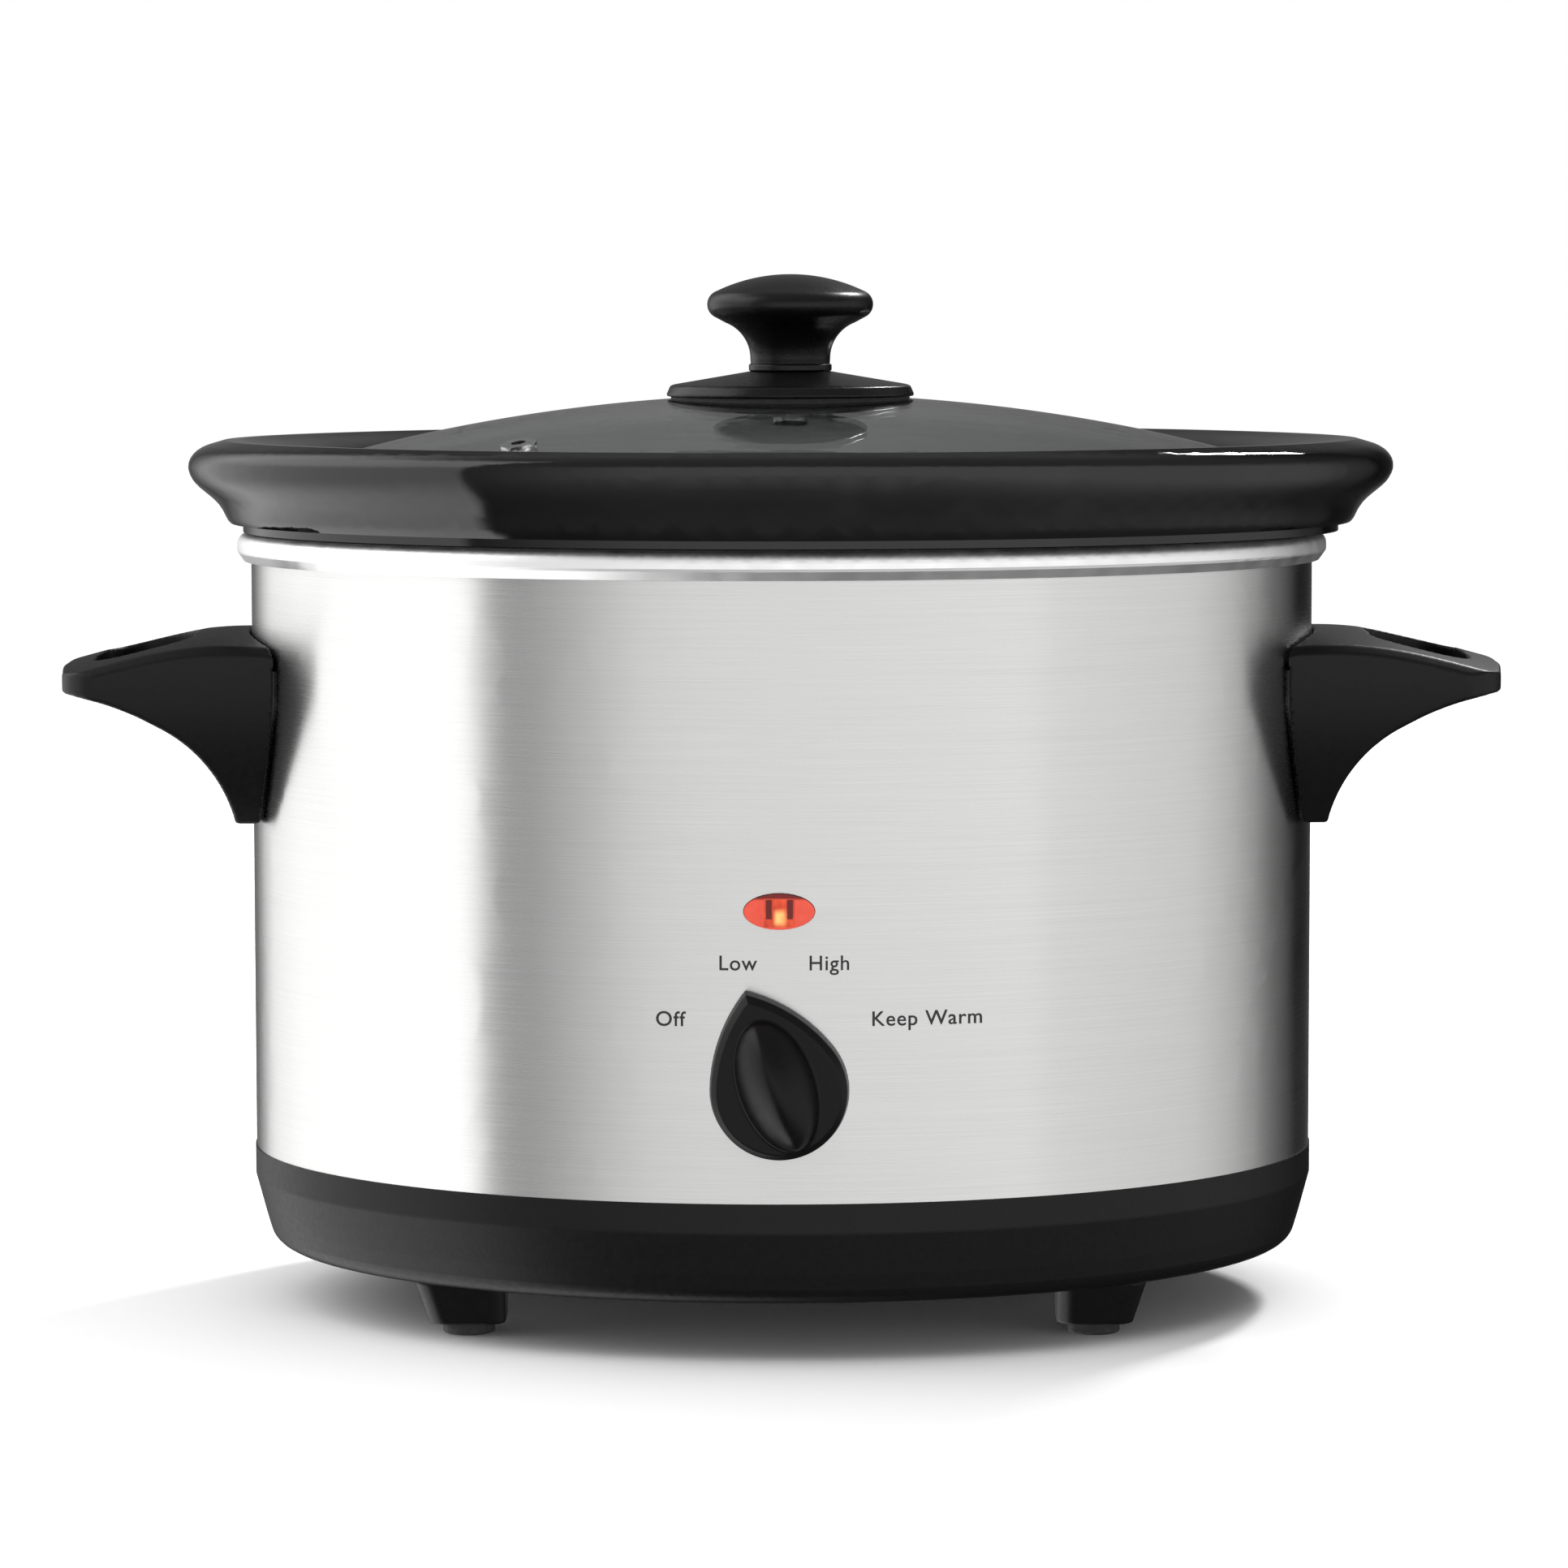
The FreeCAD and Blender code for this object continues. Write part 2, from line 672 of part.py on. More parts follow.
def teardrop(y, shrink=0.0):
    """Round plate with a pointed end. Each side is one arc that leaves the circle smoothly."""
    r = DIAL_R - shrink
    tip = DIAL_TIP - 1.4 * shrink
    leave = math.radians(20)
    back = (tip ** 2 - r ** 2) / (2 * (r - tip * math.sin(leave)))
    side_r = r + back
    centre_u = -back * math.cos(leave)
    centre_v = -back * math.sin(leave)
    tip_angle = math.atan2(tip - centre_v, -centre_u)
    middle = (tip_angle + leave) / 2
    via = (centre_u + side_r * math.cos(middle), centre_v + side_r * math.sin(middle))
    end = (r * math.cos(leave), r * math.sin(leave))
    corners = [(0, tip), ("arc", *via), end, ("arc", 0, -r), (-end[0], end[1]), ("arc", -via[0], via[1])]
    return outline(corners, lambda u, v: V(u, y, DIAL_Z + v))


def dial_pointing(solid):
    """Turned from straight up to the Low mark, which is left of it."""
    solid.rotate(V(0, 0, DIAL_Z), V(0, 1, 0), -DIAL_REST_DEG)
    return solid


def dial_back():
    return -WRAP_B - DIAL_BACK


def ellipse_face(centre, axis, along, long, short):
    ellipse = Part.Ellipse(centre, long, short)
    ellipse.Axis = axis
    ellipse.XAxis = along
    return Part.Face(Part.Wire([ellipse.toShape()]))


def dial_grip(front):
    """Arched crest between two hollow flanks, on an oval foot."""
    up = V(0, 0, 1)
    middle = DIAL_Z + GRIP_UP
    rise = DIAL_GRIP - DIAL_PLATE
    half_web = 2.2
    bend = 8.0
    foot = ellipse_face(V(0, front + 1, middle), V(0, 1, 0), up, GRIP_LONG, GRIP_HALF).extrude(V(0, -rise - 1, 0))
    arch = ellipse_face(V(-20, front, middle), V(1, 0, 0), up, GRIP_LONG, rise).extrude(V(40, 0, 0))
    grip = foot.common(arch)
    short = bend * (1 - math.sqrt(0.5))
    for side in (1, -1):
        flank = outline([(half_web, 20), (half_web, bend), ("arc", half_web + short, short),
                         (half_web + bend, 0), (20, 0), (20, 20)],
                        lambda u, v: V(side * u, front - v, middle - 20))
        grip = grip.cut(Part.Face(flank).extrude(V(0, 0, 40)))
    return grip


def dial_knob():
    back = dial_back()
    plate = Part.makeLoft([teardrop(back), teardrop(back - DIAL_PLATE + 1.6, 0.5),
                           teardrop(back - DIAL_PLATE, 1.9)], True, True)
    knob = joined([plate, dial_grip(back - DIAL_PLATE)])
    knob = knob.cut(rod(13.5, V(0, back + 1, DIAL_Z), V(0, -1, 0), 4.2))
    knob = joined([knob, rod(6.0, V(0, back - 0.4, DIAL_Z), V(0, -1, 0), DIAL_PLATE - 1)])
    return dial_pointing(knob.cut(rod(SHAFT_R + 0.8, V(0, back + 1, DIAL_Z), V(0, -1, 0), 9.4)))


def dial_clip():
    """Split spring sleeve that grips the shaft inside the dial."""
    back = dial_back()
    clip = rod(SHAFT_R + 0.75, V(0, back - 2.0, DIAL_Z), V(0, -1, 0), 6.2)
    clip = clip.cut(rod(SHAFT_R + SNUG, V(0, back + 1, DIAL_Z), V(0, -1, 0), 20))
    clip = clip.cut(box((-0.8, 0.8), (back - 20, back), (DIAL_Z, DIAL_Z + 6)))
    return dial_pointing(clip)


def switch_shaft():
    back = dial_back()
    shaft = rod(SHAFT_R, V(0, back - 8.2, DIAL_Z), V(0, 1, 0), 22.6)
    flat = box((-4, 4), (back - 9, back - 2.5), (DIAL_Z + 2.2, DIAL_Z + 4))
    return dial_pointing(shaft.cut(flat))


def switch_body():
    y = -WRAP_B + WRAP_SHEET + 4.0
    case = box((-14, 14), (y, y + 18), (DIAL_Z - 13.5, DIAL_Z + 11))
    bush = rod(BUSH_R, V(0, -WRAP_B - 0.2, DIAL_Z), V(0, 1, 0), 6)
    body = joined([case, bush])
    body = body.cut(rod(SHAFT_R + RUNNING_FIT, V(0, -WRAP_B - 2, DIAL_Z), V(0, 1, 0), 16))
    return body.cut(rod(SHAFT_R + 1.0, V(0, y + 3, DIAL_Z), V(0, 1, 0), 9))


def switch_plate():
    """Steel plate that the switch is screwed to, behind the wrap."""
    y = -WRAP_B + WRAP_SHEET + 2.8
    plate = box((-20, 20), (y, y + 1.15), (DIAL_Z - 15, DIAL_Z + 11.5))
    return plate.cut(rod(BUSH_R + SNUG, V(0, -WRAP_B - 2, DIAL_Z), V(0, 1, 0), 16))


def switch_tabs():
    y = -WRAP_B + WRAP_SHEET + 22.05
    z = (DIAL_Z - 8, DIAL_Z - 2)
    return Part.makeCompound([box((x - 0.4, x + 0.4), (y, y + 7), z) for x in (-9, -3, 3, 9)])


def lamp_lens():
    """Oval lens with a slightly crowned face and a thin rim against the wrap."""
    lens = lamp_window(0, -WRAP_B - 1.3, -WRAP_B + 5.5)
    crown = Part.makeSphere(60, V(0, -WRAP_B - 1.3 + 60, LAMP_Z))
    hollow = lamp_window(-1.3, -WRAP_B + 0.2, -WRAP_B + 6)
    return lens.common(crown).cut(hollow)


def lamp_housing():
    y = (-WRAP_B + 1.6, -WRAP_B + 11.0)
    case = box((-10.5, 10.5), y, (LAMP_Z - 6.4, LAMP_Z + 6.4))
    case = case.cut(lamp_window(SNUG, y[0] - 1, y[0] + 4.2))
    return case.cut(lamp_window(-1.6, y[0] - 1, y[1] - 1.2))


def neon_bulb():
    """Small glass tube lying behind the lens, with its two electrodes."""
    return rod(1.6, V(-2.6, -WRAP_B + 5.6, LAMP_Z), V(1, 0, 0), 5.2)


def lamp_clip():
    y = -WRAP_B + 11.05
    plate = box((-13.5, 13.5), (y, y + 0.6), (LAMP_Z - 4, LAMP_Z + 4))
    arms = [box((x, x + 0.7), (y - 7.5, y), (LAMP_Z - 4, LAMP_Z + 4)) for x in (-11.4, 10.7)]
    return joined([plate] + arms)


# ---- wiring ----

def cord_gland():
    """Moulded gland in the rear of the wrap. The cord would run through its bore."""
    y = WRAP_B
    gland = joined([
        rod(7.0, V(0, y - 5.0, GLAND_Z), V(0, 1, 0), 5.0 + GLAND_REACH),
        rod(9.6, V(0, y + 0.15, GLAND_Z), V(0, 1, 0), 3.0),
    ])
    taper = Part.makeCone(5.4, 9.0, 12, V(0, y + GLAND_REACH + 1, GLAND_Z), V(0, -1, 0))
    nose = rod(20, V(0, y + 3.15, GLAND_Z), V(0, 1, 0), 30).cut(taper)
    return gland.cut(nose).cut(rod(CORD_BORE_R, V(0, y - 12, GLAND_Z), V(0, 1, 0), 40))


def gland_nut():
    nut = hexagon(0, 0, 0, 17, 3.6)
    nut.rotate(V(0, 0, 0), V(1, 0, 0), 90)
    nut.translate(V(0, WRAP_B - WRAP_SHEET - 0.35, GLAND_Z))
    return nut.cut(rod(7.0 + SNUG, V(0, 90, GLAND_Z), V(0, 1, 0), 30))


def terminal_block():
    block = box((34, 64), (44, 58), (BRACKET_Z + BRACKET_SHEET + SNUG, BRACKET_Z + 16))
    for x in (40, 49, 58):
        block = block.cut(rod(1.9, V(x, 30, BRACKET_Z + 7), V(0, 1, 0), 40))
        block = block.cut(rod(2.2, V(x, 51, BRACKET_Z + 9), V(0, 0, 1), 20))
    return block


def terminal_screws():
    return Part.makeCompound([rod(2.0, V(x, 51, BRACKET_Z + 9.2), V(0, 0, 1), 5) for x in (40, 49, 58)])


def thermal_fuse():
    return joined([rod(2.0, V(-12, 30, PAN_FLOOR - 2.6), V(1, 0, 0), 24),
                   rod(0.6, V(-24, 30, PAN_FLOOR - 2.6), V(1, 0, 0), 48)])


def fuse_clip():
    z = PAN_FLOOR - 2.6
    strap = box((-4, 4), (24, 38), (z - 3.1, z - 2.05))
    return joined([strap, box((-4, 4), (36.9, 38), (z - 3.1, PAN_FLOOR - SNUG))])


def leads():
    """Insulated wires, each a name and its straight runs."""
    tab_y = -WRAP_B + WRAP_SHEET + 29.3
    tab_z = DIAL_Z - 5
    block_z = BRACKET_Z + 7
    mouth = 43.0
    live = [V(-9, tab_y, tab_z), V(-9, -40, tab_z), V(30, -20, block_z), V(40, 20, block_z),
            V(40, mouth, block_z)]
    low = [V(-3, tab_y, tab_z), V(-3, -60, tab_z - 6), V(-70, -40, 60), V(-128, 0, 60), V(-128.5, 0, 125)]
    high = [V(3, tab_y, tab_z), V(3, -58, tab_z), V(70, -40, 64), V(127.6, 0, 64), V(128.5, 0, 125)]
    neutral = [V(58, mouth, block_z), V(58, 10, block_z), V(60, 12, 62), V(25.5, 30, 79.4)]
    lamp = [V(9, tab_y, tab_z), V(9, -66, tab_z), V(34, -72, 60), V(40, -98.75, 70), V(30, -98.75, LAMP_Z),
            V(16, -98.75, LAMP_Z)]
    earth = [V(49, mouth, block_z), V(49, 16, block_z), V(16, 0, 44), V(12, 0, 60), V(12, 0, 80.3)]
    return {"live_lead": live, "heater_lead_low": low, "heater_lead_high": high, "neutral_lead": neutral,
            "lamp_lead": lamp, "earth_lead": earth}


LIFTED = ("crock", "glass_lid", "vent_grommet", "knob_head", "knob_insert", "knob_collar", "knob_skirt",
          "skirt_gasket", "seal_washer", "lid_washer", "lid_screw")


def parts():
    """Every piece by the name of its file."""
    pieces = {
        "outer_wrap": outer_wrap(),
        "heating_pan": heating_pan(),
        "heater_band": heater_band(),
        "heater_strap_lower": heater_strap(130),
        "heater_strap_upper": heater_strap(158),
        "strap_screws": Part.makeCompound([strap_screw(130), strap_screw(158)]),
        "tie_stud": tie_stud(),
        "tie_washer": tie_washer(),
        "tie_nut": tie_nut(),
        "base_tray": base_tray(),
        "base_bracket": base_bracket(),
        "base_legs": Part.makeCompound([leg(x, y) for x, y in base_corners()]),
        "base_screws": Part.makeCompound([base_screw(x, y) for x, y in base_corners()]),
        "crock": crock(),
        "glass_lid": glass_lid(),
        "vent_grommet": vent_grommet(),
        "knob_head": knob_head(),
        "knob_insert": knob_insert(),
        "knob_collar": knob_collar(),
        "knob_skirt": knob_skirt(),
        "skirt_gasket": skirt_gasket(),
        "seal_washer": seal_washer(),
        "lid_washer": lid_washer(),
        "lid_screw": lid_screw(),
        "dial_knob": dial_knob(),
        "dial_clip": dial_clip(),
        "switch_shaft": switch_shaft(),
        "switch_body": switch_body(),
        "switch_plate": switch_plate(),
        "switch_tabs": switch_tabs(),
        "lamp_lens": lamp_lens(),
        "lamp_housing": lamp_housing(),
        "neon_bulb": neon_bulb(),
        "lamp_clip": lamp_clip(),
        "cord_gland": cord_gland(),
        "gland_nut": gland_nut(),
        "terminal_block": terminal_block(),
        "terminal_screws": terminal_screws(),
        "thermal_fuse": thermal_fuse(),
        "fuse_clip": fuse_clip(),
    }
    for place, (x, y) in zip(("front_left", "rear_left", "front_right", "rear_right"), base_corners()):
        pieces["foot_pad_" + place] = foot_pad(x, y)
    for name, made in (("handle", handle()), ("handle_gasket", handle_gasket()),
                       ("handle_stiffener", handle_stiffener()), ("handle_screws", handle_screws())):
        pieces[name + "_right"] = made
        pieces[name + "_left"] = mirrored(made)
    for name, points in leads().items():
        pieces[name] = lead(points)
    for name in LIFTED:
        pieces[name].translate(V(CROCK_SHIFT, 0, 0))
    return pieces


os.makedirs("parts", exist_ok=True)
for name, shape in parts().items():
    shape.exportStep("parts/" + name + ".step")
    print(f"{name:20s} {shape.Volume:10.1f} mm3  {len(shape.Solids)} solid  valid {shape.isValid()}")
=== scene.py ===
import math

import bmesh
import bpy
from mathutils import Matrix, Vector
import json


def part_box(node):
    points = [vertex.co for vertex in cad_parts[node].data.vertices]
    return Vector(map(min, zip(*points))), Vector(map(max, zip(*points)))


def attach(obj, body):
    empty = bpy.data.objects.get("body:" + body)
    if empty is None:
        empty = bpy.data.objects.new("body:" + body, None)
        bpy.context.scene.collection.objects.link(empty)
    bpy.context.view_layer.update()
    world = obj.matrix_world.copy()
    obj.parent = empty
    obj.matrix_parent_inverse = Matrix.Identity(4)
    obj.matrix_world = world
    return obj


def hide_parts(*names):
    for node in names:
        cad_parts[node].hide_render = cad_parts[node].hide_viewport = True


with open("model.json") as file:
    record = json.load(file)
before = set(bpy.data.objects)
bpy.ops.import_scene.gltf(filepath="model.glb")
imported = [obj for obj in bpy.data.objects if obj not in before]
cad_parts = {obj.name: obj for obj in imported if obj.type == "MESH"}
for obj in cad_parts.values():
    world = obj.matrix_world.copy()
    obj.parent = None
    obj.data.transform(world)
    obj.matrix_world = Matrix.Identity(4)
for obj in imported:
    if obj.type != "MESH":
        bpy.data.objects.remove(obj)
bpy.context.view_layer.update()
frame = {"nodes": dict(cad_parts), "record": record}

# An oval slow cooker. Metres, in the CAD frame: X along its length, -Y its front, Z up from the table.

MM = 0.001

# ---- sizes read from the frame ----
wrap_low, wrap_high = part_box("outer_wrap")
WRAP_A = wrap_high.x
WRAP_B = -wrap_low.y
lens_low, lens_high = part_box("lamp_lens")
LAMP_Z = (lens_low.z + lens_high.z) / 2
skirt_low, skirt_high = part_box("knob_skirt")
LID_X = (skirt_low.x + skirt_high.x) / 2
shaft_low, shaft_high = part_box("switch_shaft")
DIAL_Z = (shaft_low.z + shaft_high.z) / 2


# ---- camera and light ----

def make_camera():
    """Long lens from a little above the rim, as the cooker is seen from its front."""
    data = bpy.data.cameras.new("camera")
    data.sensor_width = 36
    data.lens = 133.5
    data.clip_end = 50
    camera = bpy.data.objects.new("camera", data)
    bpy.context.scene.collection.objects.link(camera)
    heading = math.radians(0.344)
    down = math.radians(5.12)
    camera.location = (10.0 * MM, -1532.5 * MM, 272.6 * MM)
    camera.rotation_euler = (math.radians(90) - down, math.radians(0.1), heading)
    bpy.context.scene.camera = camera


# Brightness round the cooker as (degrees from the front, left negative; brightness): level with it,
# below it, where the light comes off the table, and above it, up to the soft box overhead.
LEVEL = [
    (-90, 1.62), (-58.5, 1.62), (-56, 0.30), (-45, 0.54), (-24, 1.17), (-12, 1.27), (46, 1.36), (50, 1.24),
    (88, 1.02), (104, 0.72), (122, 0.22), (142, 0.01), (160, 0.03), (180, 0.20), (200, 0.14), (209, 0.40),
    (223, 1.30), (244, 1.60),
]
BELOW = [
    (-90, 3.0), (-58.5, 2.9), (-56, 0.08), (-36, 0.10), (0, 0.14), (40, 0.18), (90, 0.15), (120, 0.06),
    (160, 0.04),
    (200, 0.10), (226, 2.2),
]
ABOVE = [
    (-90, 2.8), (-58.5, 2.7), (-55, 0.40), (0, 0.42), (60, 0.40), (100, 0.30), (122, 0.12), (142, 0.03),
    (180, 0.20),
    (205, 0.20), (226, 1.8),
]
PEAK = 3.2
OVERHEAD = 1.9
OVERHEAD_MIRRORED = 0.45


def brightness_ramp(tree, around, stops):
    """Colour ramp over the whole turn. It starts and ends at the left, where the turn closes."""
    ramp = tree.nodes.new("ShaderNodeValToRGB")
    elements = ramp.color_ramp.elements
    closing = stops[0][1] / PEAK
    for element, position in zip(elements, (0.0, 1.0)):
        element.position = position
        element.color = (closing, closing, closing, 1)
    for degrees, level in stops[1:]:
        grey = level / PEAK
        elements.new((degrees + 90) / 360).color = (grey, grey, grey, 1)
    tree.links.new(around, ramp.inputs["Fac"])
    return ramp.outputs["Color"]


def background(tree, colour, strength):
    node = tree.nodes.new("ShaderNodeBackground")
    node.inputs["Strength"].default_value = strength
    if colour is None:
        node.inputs["Color"].default_value = (1, 1, 1, 1)
    else:
        tree.links.new(colour, node.inputs["Color"])
    return node.outputs["Background"]


def mixed(tree, factor, first, second):
    node = tree.nodes.new("ShaderNodeMixShader")
    tree.links.new(factor, node.inputs["Fac"])
    tree.links.new(first, node.inputs[1])
    tree.links.new(second, node.inputs[2])
    return node.outputs["Shader"]


def rising(tree, value, low, high):
    """Smooth step from 0 at low to 1 at high."""
    node = tree.nodes.new("ShaderNodeMapRange")
    node.interpolation_type = "SMOOTHSTEP"
    node.inputs["From Min"].default_value = low
    node.inputs["From Max"].default_value = high
    tree.links.new(value, node.inputs["Value"])
    return node.outputs["Result"]


def make_world():
    """Wide soft box on the left, a pale wall in front, dark behind and on the far right, and a large
    soft box overhead that is dimmer where it is mirrored. The backdrop itself is white."""
    world = bpy.data.worlds.new("world")
    bpy.context.scene.world = world
    world.use_nodes = True
    tree = world.node_tree
    tree.nodes.clear()
    direction = tree.nodes.new("ShaderNodeTexCoord").outputs["Generated"]
    around = tree.nodes.new("ShaderNodeTexGradient")
    around.gradient_type = "RADIAL"
    tree.links.new(direction, around.inputs["Vector"])
    height = tree.nodes.new("ShaderNodeSeparateXYZ")
    tree.links.new(direction, height.inputs["Vector"])
    level = background(tree, brightness_ramp(tree, around.outputs["Fac"], LEVEL), PEAK)
    below = background(tree, brightness_ramp(tree, around.outputs["Fac"], BELOW), PEAK)
    rays = tree.nodes.new("ShaderNodeLightPath").outputs
    top = mixed(tree, rays["Is Glossy Ray"], background(tree, None, OVERHEAD),
                background(tree, None, OVERHEAD_MIRRORED))
    above = background(tree, brightness_ramp(tree, around.outputs["Fac"], ABOVE), PEAK)
    sides = mixed(tree, rising(tree, height.outputs["Z"], -0.6, -0.2), below, level)
    sides = mixed(tree, rising(tree, height.outputs["Z"], 0.2, 0.45), sides, above)
    light = mixed(tree, rising(tree, height.outputs["Z"], 0.68, 0.9), sides, top)
    shown = mixed(tree, rays["Is Camera Ray"], light, background(tree, None, 1.0))
    tree.links.new(shown, tree.nodes.new("ShaderNodeOutputWorld").inputs["Surface"])


def area_light(name, place, target, size, power):
    data = bpy.data.lights.new(name, "AREA")
    data.shape = "RECTANGLE"
    data.size, data.size_y = size
    data.energy = power
    lamp = bpy.data.objects.new(name, data)
    bpy.context.scene.collection.objects.link(lamp)
    lamp.location = place
    lamp.rotation_euler = (Vector(target) - Vector(place)).to_track_quat("-Z", "Y").to_euler()


def make_floor():
    """White floor. It isn't mirrored in the steel, where the studio shows instead."""
    bm = bmesh.new()
    bmesh.ops.create_grid(bm, x_segments=2, y_segments=2, size=6)
    mesh = bpy.data.meshes.new("floor")
    bm.to_mesh(mesh)
    bm.free()
    floor = bpy.data.objects.new("floor", mesh)
    bpy.context.scene.collection.objects.link(floor)
    paint = plain_material("floor_paint", (0.965, 0.965, 0.965), 0.8, grain=(3, 0.02), vary=0.005)
    floor.data.materials.append(paint)
    floor.visible_glossy = False


# ---- materials ----

class Nodes:
    """Short way to add and link shader nodes in one material."""

    def __init__(self, name):
        self.material = bpy.data.materials.new(name)
        self.material.use_nodes = True
        self.tree = self.material.node_tree
        self.shader = self.tree.nodes["Principled BSDF"]
        self.coordinates = self.tree.nodes.new("ShaderNodeTexCoord").outputs["Object"]

    def set(self, **values):
        for name, value in values.items():
            self.shader.inputs[name.replace("_", " ")].default_value = value

    def add(self, kind, **settings):
        node = self.tree.nodes.new("ShaderNode" + kind)
        for name, value in settings.items():
            if hasattr(node, name):
                setattr(node, name, value)
            else:
                node.inputs[name.replace("_", " ")].default_value = value
        return node

    def link(self, output, target):
        self.tree.links.new(output, target)

    def noise(self, scale, detail=3.0, stretch=(1, 1, 1), rough=0.5):
        """Noise over the piece, with scale in features per metre."""
        mapping = self.add("Mapping")
        mapping.inputs["Scale"].default_value = stretch
        self.link(self.coordinates, mapping.inputs["Vector"])
        noise = self.add("TexNoise", Scale=scale, Detail=detail, Roughness=rough)
        self.link(mapping.outputs["Vector"], noise.inputs["Vector"])
        return noise.outputs["Fac"]

    def spread(self, source, low, high):
        """Noise, which mostly lies from 0.3 to 0.7, spread from low to high."""
        ramp = self.add("MapRange")
        ramp.inputs["From Min"].default_value = 0.3
        ramp.inputs["From Max"].default_value = 0.7
        ramp.inputs["To Min"].default_value = low
        ramp.inputs["To Max"].default_value = high
        self.link(source, ramp.inputs["Value"])
        return ramp.outputs["Result"]

    def blend(self, factor, first, second):
        """Colour that goes from first to second with the factor; each is a colour or a node's output."""
        mix = self.add("Mix", data_type="RGBA")
        self.link(factor, mix.inputs[0])
        for socket, colour in ((mix.inputs[6], first), (mix.inputs[7], second)):
            if isinstance(colour, tuple):
                socket.default_value = (*colour, 1)
            else:
                self.link(colour, socket)
        return mix.outputs[2]

    def within(self, value, middle, half, edge):
        """1 where the value lies within half of the middle, 0 outside, over a soft edge."""
        away = self.add("Math", operation="SUBTRACT")
        self.link(value, away.inputs[0])
        away.inputs[1].default_value = middle
        size = self.add("Math", operation="ABSOLUTE")
        self.link(away.outputs[0], size.inputs[0])
        step = self.add("MapRange", interpolation_type="SMOOTHSTEP")
        step.inputs["From Min"].default_value = half - edge / 2
        step.inputs["From Max"].default_value = half + edge / 2
        step.inputs["To Min"].default_value = 1
        step.inputs["To Max"].default_value = 0
        self.link(size.outputs[0], step.inputs["Value"])
        return step.outputs["Result"]

    def both(self, first, second):
        product = self.add("Math", operation="MULTIPLY")
        self.link(first, product.inputs[0])
        self.link(second, product.inputs[1])
        return product.outputs[0]

    def tint(self, source, dark, light):
        """Colour that runs from dark to light with the noise."""
        self.link(self.blend(self.spread(source, 0, 1), dark, light), self.shader.inputs["Base Color"])

    def roughen(self, source, low, high):
        self.link(self.spread(source, low, high), self.shader.inputs["Roughness"])

    def bump(self, source, depth, strength=1.0, under=None):
        """Relief of the given depth in metres."""
        bump = self.add("Bump", Strength=strength, Distance=depth)
        self.link(source, bump.inputs["Height"])
        if under is not None:
            self.link(under, bump.inputs["Normal"])
        self.link(bump.outputs["Normal"], self.shader.inputs["Normal"])
        return bump.outputs["Normal"]


def shade(colour, factor):
    return tuple(min(1.0, c * factor) for c in colour)


def plain_material(name, colour, rough, metallic=0.0, grain=(600, 0.1), relief=(1500, 0.00003), vary=0.12,
                   shine=0.5):
    """Moulded or plated finish: patchy colour and gloss, and a fine surface grain."""
    n = Nodes(name)
    n.set(Metallic=metallic, Specular_IOR_Level=shine)
    patches = n.noise(grain[0], 4)
    n.tint(patches, shade(colour, 1 - vary), shade(colour, 1 + vary))
    n.roughen(patches, max(0.02, rough - grain[1]), min(1.0, rough + grain[1]))
    n.bump(n.noise(relief[0], 2), relief[1])
    return n.material


def brushed_steel():
    """Steel brushed level round the oval: long fine streaks that run sideways."""
    n = Nodes("brushed_steel")
    n.set(Metallic=1.0, Anisotropic=0.85, Anisotropic_Rotation=0.25)
    tangent = n.add("Tangent", direction_type="RADIAL", axis="Z")
    n.link(tangent.outputs["Tangent"], n.shader.inputs["Tangent"])
    streaks = n.noise(9, 5, (1, 1, 320), 0.7)
    fine = n.noise(26, 3, (1, 1, 380), 0.6)
    n.tint(streaks, (0.60, 0.60, 0.595), (0.645, 0.645, 0.64))
    n.roughen(fine, 0.24, 0.29)
    n.bump(fine, 0.000004, 0.35)
    return n.material


def spun_aluminium():
    n = Nodes("satin_aluminium")
    n.set(Metallic=1.0)
    streaks = n.noise(12, 4, (1, 1, 60), 0.6)
    n.tint(streaks, (0.93, 0.93, 0.93), (0.97, 0.97, 0.97))
    n.roughen(n.noise(180, 3), 0.40, 0.50)
    n.bump(n.noise(900, 2), 0.00001)
    return n.material


def black_glaze():
    """Thick fired glaze: mirror smooth, with a slow waviness."""
    n = Nodes("black_glaze")
    n.set(IOR=1.46)
    slow = n.noise(22, 2)
    n.tint(slow, (0.002, 0.002, 0.0021), (0.004, 0.004, 0.0039))
    n.roughen(n.noise(220, 3), 0.03, 0.06)
    n.bump(slow, 0.0003, 0.3)
    return n.material


def clear_glass():
    n = Nodes("lid_glass")
    n.set(Transmission_Weight=1.0, IOR=1.5)
    n.tint(n.noise(40, 2), (0.90, 0.93, 0.92), (0.95, 0.97, 0.96))
    n.roughen(n.noise(300, 2), 0.005, 0.02)
    return n.material


